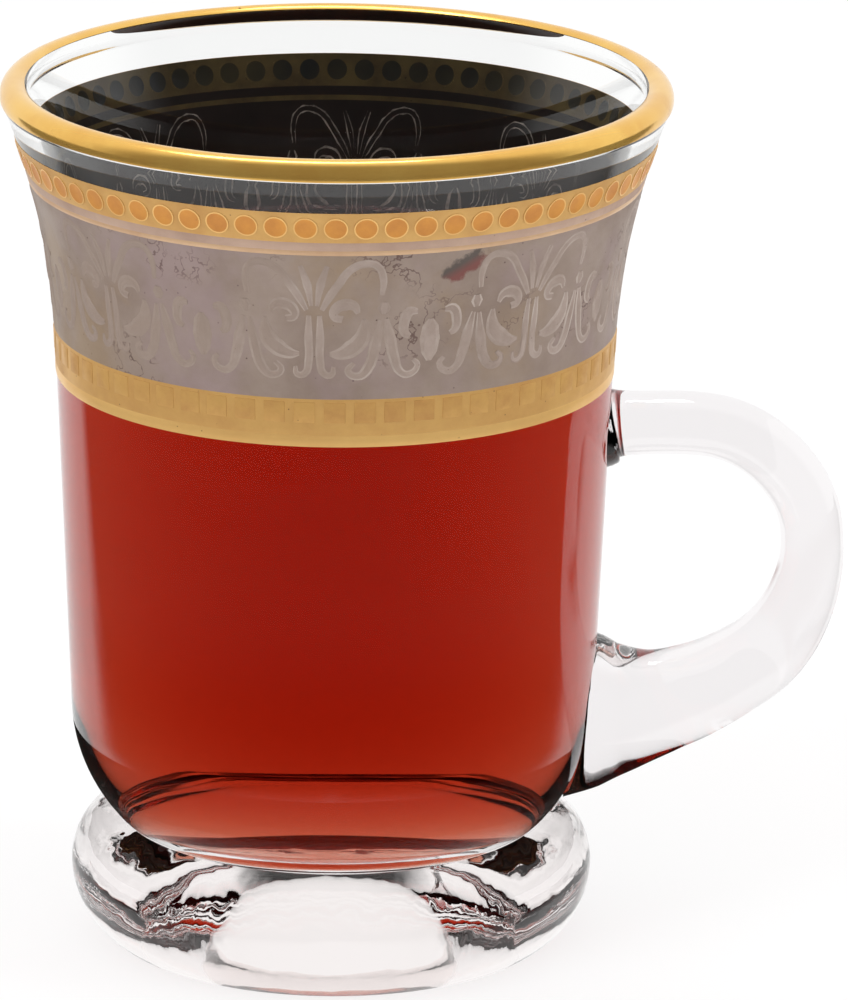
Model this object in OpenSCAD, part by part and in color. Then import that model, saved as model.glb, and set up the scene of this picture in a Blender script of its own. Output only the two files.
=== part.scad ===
// Handled tea glass: a clear bowl on a thick round foot, with a loop handle, fired gold and
// platinum bands below the lip, and a serving of red tea.
// Millimetres. Z is the axis of the bowl, the foot stands on z = 0 and the handle points along +X.

/* [Bowl] */
// Overall height, from the table to the top of the lip
total_h = 106; // [99:0.1:113]
// Outside diameter of the lip
rim_d = 80; // [76:0.5:86]
// How far the lip stands out past the body
flare_out = 8.25; // [6:0.25:11]
// Outward lean of the straight wall, in degrees
wall_lean = 2.3; // [1.5:0.1:3]
// Height of the flare, from its start to the top of the lip
flare_h = 31.2; // [26:0.1:36]
// Thickness of the wall
wall_t = 2.8; // [2.2:0.1:3.4]
// How much thicker the round lip is than the wall
lip_extra = 0.6; // [0.2:0.1:1.2]
// Outside radius of the bottom corner
corner_r = 20; // [17:0.5:22]
// Inside radius of the bottom corner
inner_corner_r = 12; // [10:0.5:15]
// Height of the bowl's underside above the table
bowl_z = 9; // [8:0.1:10.5]
// Thickness of the bowl's floor
floor_t = 7.2; // [6:0.1:8.4]

/* [Foot] */
// Height of the foot's widest place, where it is as wide as the body
foot_mid_z = 8.2; // [7:0.1:9]
// Radius of the foot's shoulder, above its widest place
shoulder_r = 6.9; // [6:0.1:8]
// How far the foot's flank draws in from there down to the table
flank_in = 4.25; // [3:0.05:5.5]
// Radius of the small round edge at the table
base_edge_r = 1; // [0.5:0.1:2]
// Width of the flat ring that the foot stands on
ring_w = 10.7; // [8:0.1:13]
// Thickness of the glass between the hollow inside that ring and the bowl
web_t = 0.8; // [0.5:0.1:2]
// Width of the rounded mouth of the hollow
mouth_w = 2; // [1:0.1:4]
// Height of the rounded mouth of the hollow
mouth_h = 2; // [1:0.1:4]

/* [Handle] */
// How far the handle stands out from the wall
handle_reach = 29.4; // [25:0.2:34]
// Gap between the top of the handle and the decoration
handle_gap = 2.7; // [0.5:0.1:6]
// Height of the bottom of its lower root above the table
handle_z = 17; // [15.5:0.1:19]
// Thickness of the grip, seen from the side
handle_t = 7.6; // [6:0.1:9]
// Height of the upper root
upper_root_h = 10.2; // [8:0.1:12]
// Height of the lower root
lower_root_h = 19.2; // [16:0.2:22]
// Depth of the grip from front to back
handle_depth = 9; // [7:0.1:11]
// How much the handle deepens for each millimetre that it thickens
root_spread = 0.7; // [0:0.05:1]

/* [Bands] */
// Thickness of each layer of fired metal
metal_t = 0.12; // [0.08:0.01:0.2]
// How far the gold of the lip comes down outside
rim_gold_h = 2.2; // [1.8:0.1:2.4]
// Where the gold of the lip ends inside: degrees up from outside and over the top
rim_gold_turn = 130; // [110:5:170]
// Height of the clear strip below it
clear_strip_h = 4.1; // [3:0.1:5]
// Height of the upper gold border
upper_border_h = 3.8; // [3.4:0.1:5]
// Height of the platinum stripe below that border
stripe_h = 1.05; // [0.6:0.05:1.6]
// Height of the thin gold line below the stripe
gold_line_h = 0.6; // [0.4:0.05:1]
// Height of the broad platinum band
platinum_h = 18.05; // [16.5:0.05:20]
// Height of the lower gold border
lower_border_h = 4.5; // [3.6:0.1:5.5]
// Height of the bright gold line below it
lower_line_h = 1.35; // [0.8:0.05:2]

/* [Ornament] */
// Diameter of a gold dot
dot_d = 2.6; // [2:0.1:3]
// Distance from dot to dot
dot_pitch = 3.5; // [3.2:0.1:5]
// Width of a gold block
block_w = 2.5; // [1.8:0.1:3]
// Height of a gold block
block_h = 2.5; // [1.8:0.1:3]
// Distance from block to block
block_pitch = 3.5; // [3.2:0.1:5]
// Gap between a block and the top of its border
block_drop = 0.4; // [0.2:0.1:0.8]
// Units of scrollwork round the glass
scroll_count = 8; // [7:1:9]
// Angle that the scrollwork is turned round the glass, in degrees
scroll_angle = -4; // [-22.5:0.5:22.5]
// Gap between the scrollwork and the lower edge of its band
scroll_rise = 2.5; // [0.5:0.1:3.5]
// Gap between the scrollwork and the upper edge of its band
scroll_drop = 0.55; // [0.3:0.05:1.5]
// Width of a full stroke of the scrollwork
scroll_stroke = 1.1; // [0.7:0.05:1.15]

/* [Tea] */
// How far the tea's surface lies below the lip
tea_drop = 23.2; // [14:0.1:40]

/* [Hidden] */
$fn = 96;

// Steps along the round stretches of the profile
corner_steps = 7;
flare_steps = 14;
lip_steps = 14;
lip_edge_steps = 3;
lip_under_steps = 2;
foot_steps = 8;
// Steps along the handle between two stations, and sides of its section
handle_steps = 2;
handle_sides = 24;
// Room under a flat stroke of scrollwork for the curve of its band
scroll_seat = 0.02;

// Points on an arc from angle a0 to a1, as [radius, height]
function arc(c, r, a0, a1, n) =
    [for (i = [0:n]) let (a = a0 + (a1 - a0) * i / n) c + r * [cos(a), sin(a)]];

// The meeting point of two circles that lies to the right of the line from c0 to c1
function circles_meet(c0, r0, c1, r1) =
    let (
        d = c1 - c0,
        far = norm(d),
        along = (r0 * r0 - r1 * r1 + far * far) / (2 * far),
        aside = sqrt(r0 * r0 - along * along),
        e = d / far
    )
    c0 + along * e + aside * [e[1], -e[0]];

function direction(v) = atan2(v[1], v[0]);

function reversed(list) = [for (i = [len(list) - 1:-1:0]) list[i]];

function after_first(list) = [for (i = [1:len(list) - 1]) list[i]];

function before_last(list) = [for (i = [0:len(list) - 2]) list[i]];

// The outside of the bowl: corner, straight wall, flare and lip
body_r = rim_d / 2 - flare_out;
wall_normal = [cos(wall_lean), -sin(wall_lean)];
corner_c = [body_r - corner_r * cos(wall_lean), bowl_z + corner_r];
corner_top = corner_c + corner_r * wall_normal;
flare_z = total_h - flare_h;
flare_start = [corner_top[0] + (flare_z - corner_top[1]) * tan(wall_lean), flare_z];
lip_t = wall_t + lip_extra;
lip_c = [(rim_d - lip_t) / 2, total_h - lip_t / 2];
// The flare is the one arc that leaves the wall smoothly and runs smoothly into the round lip
lip_path = lip_c - (flare_start - lip_t / 2 * wall_normal);
flare_r = lip_path * lip_path / (2 * (lip_path * wall_normal)) - lip_t / 2;
flare_c = flare_start + flare_r * wall_normal;
lip_lean = 180 - direction(lip_c - flare_c);

// The foot's shoulder meets the bowl's corner on this point
shoulder_c = [body_r - shoulder_r, foot_mid_z];
seat_edge = circles_meet(shoulder_c, shoulder_r, corner_c, corner_r);
seat_angle = direction(seat_edge - corner_c);

seat_points = arc(corner_c, corner_r, -90, seat_angle, corner_steps);
// The foot's edge: a small round up from the flat base, a flank out to the widest place, the shoulder
flank_r = (flank_in * flank_in + foot_mid_z * foot_mid_z) / (2 * flank_in);
flank_c = [body_r - flank_r, foot_mid_z];
base_edge_run = sqrt(pow(flank_r - base_edge_r, 2) - pow(foot_mid_z - base_edge_r, 2));
base_edge_c = [flank_c[0] + base_edge_run, base_edge_r];
base_edge_turn = direction(base_edge_c - flank_c);
// The hollow under the foot: a roof that follows the bowl, an upright wall and a rounded mouth
mouth_r = base_edge_c[0] - ring_w;
hollow_r = mouth_r - mouth_w;
roof_r = corner_r + web_t;
roof_turn = -acos((hollow_r - corner_c[0]) / roof_r);
mouth_points = [for (i = [0:foot_steps])
    let (a = 90 * i / foot_steps)
    [mouth_r - mouth_w * cos(a), mouth_h * (1 - sin(a))]];
hollow_points = concat(
    [[0, bowl_z - web_t]],
    arc(corner_c, roof_r, -90, roof_turn, corner_steps),
    mouth_points
);
foot_edge = concat(
    arc(base_edge_c, base_edge_r, -90, base_edge_turn, foot_steps),
    after_first(arc(flank_c, flank_r, base_edge_turn, 0, foot_steps)),
    before_last(after_first(arc(shoulder_c, shoulder_r, 0, direction(seat_edge - shoulder_c), foot_steps)))
);
corner_points = arc(corner_c, corner_r, seat_angle, -wall_lean, corner_steps);
flare_points = arc(flare_c, flare_r, 180 - wall_lean, 180 - lip_lean, flare_steps);
outer_points = concat(before_last(seat_points), corner_points, flare_points);

// The inside of the bowl, one wall thickness in, with a rounder corner and a thicker floor
lip_turn = acos((wall_t - lip_t / 2) / (lip_t / 2));
// The bead of the lip has a bare edge outside, the stretch that the gold covers, and a bare edge inside
rim_gold_z = total_h - rim_gold_h;
rim_start = max(asin((rim_gold_z - lip_c[1]) / (lip_t / 2)), 2 - lip_lean);
gilt_points = arc(lip_c, lip_t / 2, rim_start, rim_gold_turn, lip_steps);
lip_points = concat(
    arc(lip_c, lip_t / 2, -lip_lean, rim_start, lip_edge_steps),
    after_first(gilt_points),
    after_first(arc(lip_c, lip_t / 2, rim_gold_turn, 180, lip_edge_steps))
);
lip_under = arc(lip_c, lip_t / 2, 180, 180 - lip_lean + lip_turn, lip_under_steps);
inner_flare_r = flare_r + wall_t;
inner_lean = lip_lean - lip_t / 2 * sin(lip_turn) / inner_flare_r * 180 / PI;
inner_flare = arc(flare_c, inner_flare_r, 180 - inner_lean, 180 - wall_lean, flare_steps);
floor_z = bowl_z + floor_t;
inner_corner_z = floor_z + inner_corner_r;
inner_reach = corner_c * wall_normal + corner_r - wall_t - inner_corner_r;
inner_corner_c = [(inner_reach + inner_corner_z * sin(wall_lean)) / cos(wall_lean), inner_corner_z];
inner_corner = arc(inner_corner_c, inner_corner_r, -wall_lean, -90, 2 * corner_steps);
inner_points = concat(inner_flare, inner_corner);

// Radius of the bowl's outside and inside at a height
outer_by_z = [for (p = outer_points) [p[1], p[0]]];
inner_by_z = [for (p = reversed(inner_points)) [p[1], p[0]]];
function skin_r(z) = lookup(z, outer_by_z);
function cavity_r(z) = lookup(z, inner_by_z);
// Outward lean of the flare at a height
function skin_lean(z) = asin((z - flare_c[1]) / flare_r);

// Edges of the bands, from the lip down
upper_border_top = rim_gold_z - clear_strip_h;
stripe_top = upper_border_top - upper_border_h;
gold_line_top = stripe_top - stripe_h;
platinum_top = gold_line_top - gold_line_h;
lower_border_top = platinum_top - platinum_h;
lower_line_top = lower_border_top - lower_border_h;
lower_line_z = lower_line_top - lower_line_h;
tea_z = total_h - tea_drop;

// Centre line of the handle: share of its reach, share of its height, thickness
handle_stations = [
    [-0.15, 0.914, upper_root_h * 1.1],
    [0.01, 0.916, upper_root_h],
    [0.085, 0.921, handle_t * 1.03],
    [0.36, 0.923, handle_t],
    [0.53, 0.905, handle_t],
    [0.67, 0.860, handle_t],
    [0.785, 0.790, handle_t],
    [0.85, 0.715, handle_t],
    [0.871, 0.637, handle_t],
    [0.864, 0.560, handle_t * 1.04],
    [0.828, 0.482, handle_t * 1.12],
    [0.764, 0.408, handle_t * 1.22],
    [0.671, 0.346, handle_t * 1.32],
    [0.54, 0.295, handle_t * 1.40],
    [0.40, 0.254, handle_t * 1.53],
    [0.255, 0.225, handle_t * 1.7],
    [0.115, 0.210, lower_root_h * 0.82],
    [-0.01, 0.205, lower_root_h],
    [-0.16, 0.200, lower_root_h * 1.12]
];
handle_h = lower_line_z - handle_gap - handle_z;
handle_wall_r = skin_r(handle_z + handle_h / 2);

// A smooth curve through the stations
function spline(points, i, s) =
    let (
        last = len(points) - 1,
        p0 = points[max(i - 1, 0)],
        p1 = points[i],
        p2 = points[i + 1],
        p3 = points[min(i + 2, last)]
    )
    p1 + (p2 - p0) * s / 2 + (2 * p0 - 5 * p1 + 4 * p2 - p3) * s * s / 2
        + (3 * p1 - 3 * p2 + p3 - p0) * s * s * s / 2;

handle_line = concat(
    [for (i = [0:len(handle_stations) - 2]) for (j = [0:handle_steps - 1])
        spline(handle_stations, i, j / handle_steps)],
    [handle_stations[len(handle_stations) - 1]]
);

function handle_centre(s) = [handle_wall_r + s[0] * handle_reach, handle_z + s[1] * handle_h];

// One oval section of the handle, square to its centre line
function handle_ring(i) =
    let (
        last = len(handle_line) - 1,
        c = handle_centre(handle_line[i]),
        t = handle_line[i][2],
        step = handle_centre(handle_line[min(i + 1, last)]) - handle_centre(handle_line[max(i - 1, 0)]),
        across = [-step[1], step[0]] / norm(step),
        half_depth = (handle_depth + root_spread * (t - handle_t)) / 2
    )
    [for (k = [0:handle_sides - 1])
        let (a = 360 * k / handle_sides, out = t / 2 * cos(a))
        [c[0] + out * across[0], half_depth * sin(a), c[1] + out * across[1]]];

// One side of a unit of scrollwork, from the stem outwards: share of its half width, share of its
// height, share of the full stroke
scroll_side = [
    // leg that curls away from the stem
    [[0.61, 0.50, 0.5], [0.65, 0.33, 1], [0.69, 0.17, 1], [0.75, 0.05, 0.8], [0.83, 0.03, 0.7],
        [0.90, 0.10, 0.6], [0.86, 0.15, 0.4]],
    // leg that curls towards the stem
    [[0.555, 0.49, 0.5], [0.52, 0.28, 1], [0.455, 0.08, 1], [0.375, 0.025, 0.8], [0.29, 0.07, 0.7],
        [0.34, 0.135, 0.4]],
    // drop over the two legs
    [[0.585, 0.54, 0.5], [0.588, 0.59, 1], [0.59, 0.64, 0.4]],
    // bud beside the stem
    [[0.42, 0.50, 0.4], [0.43, 0.41, 0.9], [0.405, 0.31, 1.1], [0.32, 0.23, 1.1], [0.21, 0.20, 0.9],
        [0.13, 0.21, 0.4]],
    // volute over the bud
    [[0.37, 0.55, 0.4], [0.335, 0.61, 0.8], [0.265, 0.625, 0.9], [0.185, 0.59, 0.8],
        [0.17, 0.52, 0.6], [0.24, 0.50, 0.4]],
    // arch from the stem to the legs
    [[0.065, 0.575, 0.5], [0.13, 0.69, 0.9], [0.20, 0.79, 0.9], [0.30, 0.92, 0.9],
        [0.42, 0.97, 0.9], [0.515, 0.95, 0.8], [0.57, 0.84, 0.8], [0.565, 0.70, 0.5]],
    // stem with its curled foot
    [[0.045, 0.53, 0.5], [0.05, 0.35, 0.9], [0.05, 0.15, 0.9], [0.085, 0.045, 0.8],
        [0.15, 0.04, 0.7], [0.165, 0.105, 0.4]],
    // blade of the fan
    [[0.025, 0.61, 0.4], [0.055, 0.79, 0.9], [0.11, 0.95, 0.5]],
    // hook beside the outer leg
    [[0.88, 0.55, 0.4], [0.81, 0.55, 0.8], [0.765, 0.46, 0.8], [0.775, 0.375, 0.7], [0.82, 0.345, 0.4]]
];
// The almond between two units
scroll_almond = [[1, 0.15, 0.4], [1, 0.31, 1.8], [1, 0.46, 0.4]];
scroll_z = lower_border_top + scroll_rise;
scroll_h = platinum_h - scroll_rise - scroll_drop;
scroll_r = skin_r(scroll_z + scroll_h / 2);
scroll_w = 2 * PI * scroll_r / scroll_count;
scroll_paths = concat(
    scroll_side,
    [for (path = scroll_side) [for (p = path) [-p[0], p[1], p[2]]]],
    [scroll_almond]
);

// A place on the band, from a distance round it and a height, raised by lift
function on_band(turn, around, z, lift) =
    let (a = turn + around / scroll_r * 180 / PI, r = skin_r(z) + lift)
    [r * cos(a), r * sin(a), z];

// Four corners of a stroke at one of its points: low left, low right, high right, high left
function stroke_ring(turn, path, i) =
    let (
        size = [scroll_w / 2, scroll_h],
        flat = [for (p = path) [p[0] * size[0], p[1] * size[1]]],
        step = flat[min(i + 1, len(path) - 1)] - flat[max(i - 1, 0)],
        side = [-step[1], step[0]] / norm(step) * scroll_stroke * path[i][2] / 2,
        left = flat[i] + side,
        right = flat[i] - side,
        low = metal_t + scroll_seat,
        high = low + metal_t
    )
    [for (corner = [[left, low], [right, low], [right, high], [left, high]])
        on_band(turn, corner[0][0], scroll_z + corner[0][1], corner[1])];

// Triangles of a stroke whose corners start at number n, with so many rings
function stroke_faces(n, rings) = concat(
    [for (i = [0:rings - 2]) for (k = [0:3])
        let (a = n + 4 * i + k, b = n + 4 * i + (k + 1) % 4)
        each [[a, a + 4, b], [b, a + 4, b + 4]]],
    [[n, n + 1, n + 2], [n, n + 2, n + 3]],
    let (e = n + 4 * (rings - 1)) [[e, e + 2, e + 1], [e, e + 3, e + 2]]
);

// A ring of metal on the bowl's skin from z0 up to z1, raised by lift
module band(z0, z1, t, lift = 0) {
    heights = concat([z0], [for (p = outer_points) if (p[1] > z0 && p[1] < z1) p[1]], [z1]);
    inside = [for (z = heights) [skin_r(z) + lift, z]];
    outside = [for (z = reversed(heights)) [skin_r(z) + lift + t, z]];
    rotate_extrude() polygon(concat(inside, outside));
}

// The solid that the bowl's outside encloses
module bowl_block() {
    rotate_extrude() polygon(concat([[0, bowl_z]], outer_points, lip_points, [[0, total_h]]));
}

// The solid that the foot's edge encloses
module foot_block() {
    rotate_extrude() polygon(concat([[0, 0]], foot_edge, [seat_edge, [0, seat_edge[1]]]));
}

module bowl() {
    color("azure", 0.4)
        rotate_extrude()
            polygon(concat([[0, bowl_z]], outer_points, after_first(lip_points), after_first(lip_under),
                inner_points, [[0, floor_z]]));
}

module foot() {
    color("azure", 0.4)
        rotate_extrude()
            polygon(concat(hollow_points, foot_edge, reversed(seat_points), [[0, bowl_z]]));
}

module handle() {
    rings = len(handle_line);
    points = [for (i = [0:rings - 1]) each handle_ring(i)];
    sides = [for (i = [0:rings - 2]) for (k = [0:handle_sides - 1])
        let (
            a = i * handle_sides + k,
            b = i * handle_sides + (k + 1) % handle_sides
        )
        each [[a, b, a + handle_sides], [b, b + handle_sides, a + handle_sides]]];
    first_end = [for (k = [1:handle_sides - 2]) [0, k + 1, k]];
    top = (rings - 1) * handle_sides;
    last_end = [for (k = [1:handle_sides - 2]) [top, top + k, top + k + 1]];
    color("azure", 0.4)
        difference() {
            polyhedron(points, concat(sides, first_end, last_end));
            bowl_block();
            foot_block();
        }
}

module rim_gold_band() {
    over = [for (p = gilt_points) p + metal_t * (p - lip_c) / norm(p - lip_c)];
    color("gold")
        rotate_extrude() polygon(concat(gilt_points, reversed(over)));
}

module upper_gold_border() {
    color("goldenrod")
        band(stripe_top, upper_border_top, metal_t);
}

module upper_gold_dots() {
    dot_z = (stripe_top + upper_border_top) / 2;
    r = skin_r(dot_z);
    count = round(2 * PI * r / dot_pitch);
    color("orange")
        intersection() {
            band(stripe_top, upper_border_top, metal_t, metal_t);
            for (i = [0:count - 1])
                rotate([0, 0, 360 * i / count])
                    translate([r, 0, dot_z])
                        rotate([0, 90 + skin_lean(dot_z), 0])
                            cylinder(d = dot_d, h = 2 * dot_d, center = true);
        }
}

module upper_platinum_stripe() {
    color("rosybrown")
        band(gold_line_top, stripe_top, metal_t);
}

module upper_gold_line() {
    color("khaki")
        band(platinum_top, gold_line_top, metal_t);
}

module platinum_band() {
    color("tan")
        band(lower_border_top, platinum_top, metal_t);
}

module scrollwork() {
    strokes = [for (i = [0:scroll_count - 1])
        each [for (path = scroll_paths) [scroll_angle + 360 * i / scroll_count, path]]];
    rings = [for (s = strokes) each [for (i = [0:len(s[1]) - 1]) each stroke_ring(s[0], s[1], i)]];
    starts = [for (k = 0, n = 0; k < len(strokes); n = n + 4 * len(strokes[k][1]), k = k + 1) n];
    faces = [for (k = [0:len(strokes) - 1]) each stroke_faces(starts[k], len(strokes[k][1]))];
    color("gainsboro")
        polyhedron(rings, faces);
}

module lower_gold_border() {
    color("goldenrod")
        band(lower_line_top, lower_border_top, metal_t);
}

module lower_gold_blocks() {
    block_z = lower_border_top - block_drop - block_h;
    r = skin_r(block_z);
    count = round(2 * PI * r / block_pitch);
    color("peru")
        intersection() {
            band(block_z, block_z + block_h, metal_t, metal_t);
            for (i = [0:count - 1])
                rotate([0, 0, 360 * i / count])
                    translate([r, 0, block_z + block_h / 2])
                        cube([2 * block_w, block_w, 2 * block_h], center = true);
        }
}

module lower_gold_line() {
    color("gold")
        band(lower_line_z, lower_line_top, metal_t);
}

module tea() {
    below = [for (p = reversed(inner_points)) if (p[1] < tea_z) p];
    color("firebrick", 0.8)
        rotate_extrude()
            polygon(concat([[0, floor_z]], below, [[cavity_r(tea_z), tea_z], [0, tea_z]]));
}

bowl();
foot();
handle();
rim_gold_band();
upper_gold_border();
upper_gold_dots();
upper_platinum_stripe();
upper_gold_line();
platinum_band();
scrollwork();
lower_gold_border();
lower_gold_blocks();
lower_gold_line();
tea();
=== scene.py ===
# %% [markdown]
# # A handled tea glass
# The real object is a glass of red tea: a clear bowl that flares to a gold lip, a thick round foot, a
# loop handle, and bands of gold and platinum that were painted on the outside and fired in a kiln.
# The solid model is loaded first and stays as the fixed frame. Each step then makes one better piece
# in the same place, in metres, and says which solid it stands for.

# %% Load the frame
from math import acos, asin, atan2, cos, degrees, hypot, pi, radians, sin, sqrt, tan

import bpy
from mathutils import Euler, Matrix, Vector


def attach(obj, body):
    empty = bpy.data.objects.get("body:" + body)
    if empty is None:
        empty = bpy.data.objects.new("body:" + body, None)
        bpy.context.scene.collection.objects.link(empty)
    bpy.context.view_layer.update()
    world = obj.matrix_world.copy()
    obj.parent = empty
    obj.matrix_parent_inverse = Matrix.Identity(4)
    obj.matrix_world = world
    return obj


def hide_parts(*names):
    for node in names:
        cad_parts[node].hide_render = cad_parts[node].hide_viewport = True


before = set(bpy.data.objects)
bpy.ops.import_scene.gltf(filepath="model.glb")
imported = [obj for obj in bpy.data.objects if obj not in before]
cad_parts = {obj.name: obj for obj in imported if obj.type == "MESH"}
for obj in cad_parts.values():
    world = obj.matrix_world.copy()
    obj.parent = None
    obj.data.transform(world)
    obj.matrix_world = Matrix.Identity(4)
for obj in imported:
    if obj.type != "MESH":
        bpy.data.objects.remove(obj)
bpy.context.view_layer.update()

print("solids in the frame:", ", ".join(sorted(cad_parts)))

# %% [markdown]
# ## The camera
# The picture was taken from a little above the lip, with a long lens, so that upright lines stay almost
# parallel. The place, the aim and the lens were found by laying circles of known height over the lip,
# the bands and the foot. A tiny roll levels the lip as in the picture.

# %% Camera
scene = bpy.context.scene
camera_data = bpy.data.cameras.new("photo_camera")
camera_data.sensor_width = 36.0
camera_data.lens = 280.39
camera_data.clip_start = 0.05
camera = bpy.data.objects.new("photo_camera", camera_data)
scene.collection.objects.link(camera)
camera_place = Vector((0.0, -0.9, 0.330434))
camera_aim = Vector((0.010888, 0.0, 0.05375))
camera_roll = 0.011
camera.location = camera_place
towards = (camera_aim - camera_place).to_track_quat("-Z", "Y")
camera.rotation_euler = (towards @ Euler((0.0, 0.0, camera_roll)).to_quaternion()).to_euler()
scene.camera = camera
print("camera looks down by", round(degrees(asin((camera_place - camera_aim).normalized().z)), 1), "degrees")

# %% [markdown]
# ## Stage and light
# A glass lives on what is round it. Behind it lies a white sweep, and the room in front of it is dark.
# Light that comes through the middle of the glass is white, and light that its edges bend round from the
# dark room draws thin grey lines, as in any bright-field picture of glass. The camera itself sees white
# only. The helpers come first: each makes one node and hands on what comes out of it.

# %% Colours and shader helpers
WHITE = (1.0, 1.0, 1.0, 1.0)
SMOOTH = "SMOOTHSTEP"


def shade(red, green, blue):
    """A colour picked on a screen, from 0 to 255, as the linear numbers that shaders use."""
    def linear(c):
        c = c / 255.0
        return c / 12.92 if c <= 0.04045 else ((c + 0.055) / 1.055) ** 2.4
    return (linear(red), linear(green), linear(blue), 1.0)


def blank_nodes(owner):
    """An empty node tree on a material or a world."""
    owner.use_nodes = True
    owner.node_tree.nodes.clear()
    return owner.node_tree


def feed(tree, socket, term):
    """Gives a socket a plain value, or links it to the output of another node."""
    if isinstance(term, bpy.types.NodeSocket):
        tree.links.new(term, socket)
    else:
        socket.default_value = term


def put(tree, kind, **settings):
    """A node with its inputs and options set by name."""
    new = tree.nodes.new(kind)
    for key, value in settings.items():
        name = key.replace("_", " ")
        if name in new.inputs:
            feed(tree, new.inputs[name], value)
        else:
            setattr(new, key, value)
    return new


def step_of(tree, operation, *terms):
    """A step of maths whose terms are outputs of other nodes or plain numbers."""
    step = put(tree, "ShaderNodeMath", operation=operation)
    for socket, term in zip(step.inputs, terms):
        feed(tree, socket, term)
    return step.outputs[0]


print("mid grey is written as", [round(c, 3) for c in shade(128, 128, 128)])

# %% More shader helpers
def object_place(tree):
    """The place of a point on its piece, in metres."""
    return put(tree, "ShaderNodeTexCoord").outputs["Object"]


def axes_of(tree, place):
    """The X, Y and Z of a place."""
    return put(tree, "ShaderNodeSeparateXYZ", Vector=place).outputs


def length_of(tree, place):
    """How far a place lies from the origin."""
    return put(tree, "ShaderNodeVectorMath", operation="LENGTH", Vector=place).outputs["Value"]


def ramp_of(tree, value, start, end, low=0.0, high=1.0, kind="LINEAR"):
    """A value that goes from low at start to high at end, and stays there beyond them."""
    return put(tree, "ShaderNodeMapRange", interpolation_type=kind, Value=value, From_Min=start,
               From_Max=end, To_Min=low, To_Max=high).outputs["Result"]


def noise_of(tree, place, scale, detail=4.0, roughness=0.6):
    """A noise round a place, from 0 to 1."""
    return put(tree, "ShaderNodeTexNoise", Vector=place, Scale=scale, Detail=detail,
               Roughness=roughness).outputs["Fac"]


def mix_of(tree, factor, first, second):
    """Two colours, plain or from other nodes, mixed by a factor."""
    return put(tree, "ShaderNodeMix", data_type="RGBA", Factor=factor, A=first, B=second).outputs["Result"]


def either_of(tree, factor, first, second):
    """Two shaders mixed by a factor."""
    either = put(tree, "ShaderNodeMixShader")
    for socket, term in zip(either.inputs, (factor, first.outputs[0], second.outputs[0])):
        feed(tree, socket, term)
    return either.outputs[0]


def seen_rays(tree, share):
    """A factor: that share for rays from the camera, 1 for mirrors and glass, and 0 for the rest."""
    path = put(tree, "ShaderNodeLightPath").outputs
    bent = step_of(tree, "MAXIMUM", path["Is Glossy Ray"], path["Is Transmission Ray"])
    direct = step_of(tree, "MULTIPLY", path["Is Camera Ray"], share)
    return step_of(tree, "MAXIMUM", bent, direct)


print("helpers for places, ramps, noise, mixes and rays are ready")

# %% World
fill_light, room_light = 0.75, 0.04
room_start, sweep_start = -0.35, 0.2
world = bpy.data.worlds.new("studio")
scene.world = world
tree = blank_nodes(world)
heading = axes_of(tree, put(tree, "ShaderNodeTexCoord").outputs["Generated"])
behind = ramp_of(tree, heading["Y"], room_start, sweep_start, low=room_light, kind=SMOOTH)
fill = put(tree, "ShaderNodeBackground", Color=WHITE, Strength=fill_light)
sweep = put(tree, "ShaderNodeBackground", Color=WHITE, Strength=behind)
put(tree, "ShaderNodeOutputWorld", Surface=either_of(tree, seen_rays(tree, 1.0), fill, sweep))
print("the world lights the piece at", fill_light, "and mirrors see the room in front at", room_light)

# %% [markdown]
# ## Floor
# A mirror sees the floor white behind the glass, and dark in front of it and beside it, so that the tea
# doesn't mirror white and turn milky. A ray that meets the floor steeply has come straight down through
# the glass, and sees white. A slanting ray that has gone through glass sees, close to the foot, the dim
# red-brown that tea throws on a table. Light that only falls on the floor finds it matt and pale.

# %% Floor
def pick(*pieces):
    """Selects these pieces and nothing else. The last one is the active piece."""
    bpy.ops.object.select_all(action="DESELECT")
    for piece in pieces:
        piece.select_set(True)
        bpy.context.view_layer.objects.active = piece


floor_gap, floor_width, floor_share = 0.0002, 4.0, 0.75
dark_edge, white_edge, dark_light = -0.095, -0.055, 0.02
slanting, steep = 0.56, 0.28
glow_reach, glow_end = 0.1, 0.15
tea_glow = (0.22, 0.03, 0.015, 1.0)
pick()
bpy.ops.mesh.primitive_plane_add(size=floor_width, location=(0.0, 0.0, -floor_gap))
floor = bpy.context.object
floor.name = "studio_floor"
floor_paint = bpy.data.materials.new("pale_floor")
tree = blank_nodes(floor_paint)
place = object_place(tree)
spot = axes_of(tree, place)
path = put(tree, "ShaderNodeLightPath").outputs
backwards = step_of(tree, "SUBTRACT", spot["Y"], step_of(tree, "ABSOLUTE", spot["X"]))
lit = ramp_of(tree, backwards, dark_edge, white_edge, low=dark_light, kind=SMOOTH)
slant = put(tree, "ShaderNodeLayerWeight", Blend=0.5).outputs["Facing"]
below = ramp_of(tree, slant, slanting, steep, kind=SMOOTH)
white = step_of(tree, "MAXIMUM", step_of(tree, "MAXIMUM", lit, below), path["Is Camera Ray"])
far = ramp_of(tree, length_of(tree, place), glow_reach, glow_end, kind=SMOOTH)
glow_colour = mix_of(tree, step_of(tree, "MAXIMUM", white, far), tea_glow, WHITE)
glow_light = step_of(tree, "MAXIMUM", white, path["Is Transmission Ray"])
glow = put(tree, "ShaderNodeEmission", Color=glow_colour, Strength=glow_light)
matt = put(tree, "ShaderNodeBsdfDiffuse", Color=(0.9, 0.9, 0.9, 1.0))
put(tree, "ShaderNodeOutputMaterial", Surface=either_of(tree, seen_rays(tree, floor_share), matt, glow))
floor.data.materials.append(floor_paint)

print("stage:", floor.name, "with its white part behind the glass")

# %% [markdown]
# ## Lamps
# Three soft lamps model the metal. The real glass mirrors no tall window, so the key and the side lamp
# stay out of mirrors, and all three are hidden from light that has gone through glass, where their
# rectangles would show in the foot.

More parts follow.
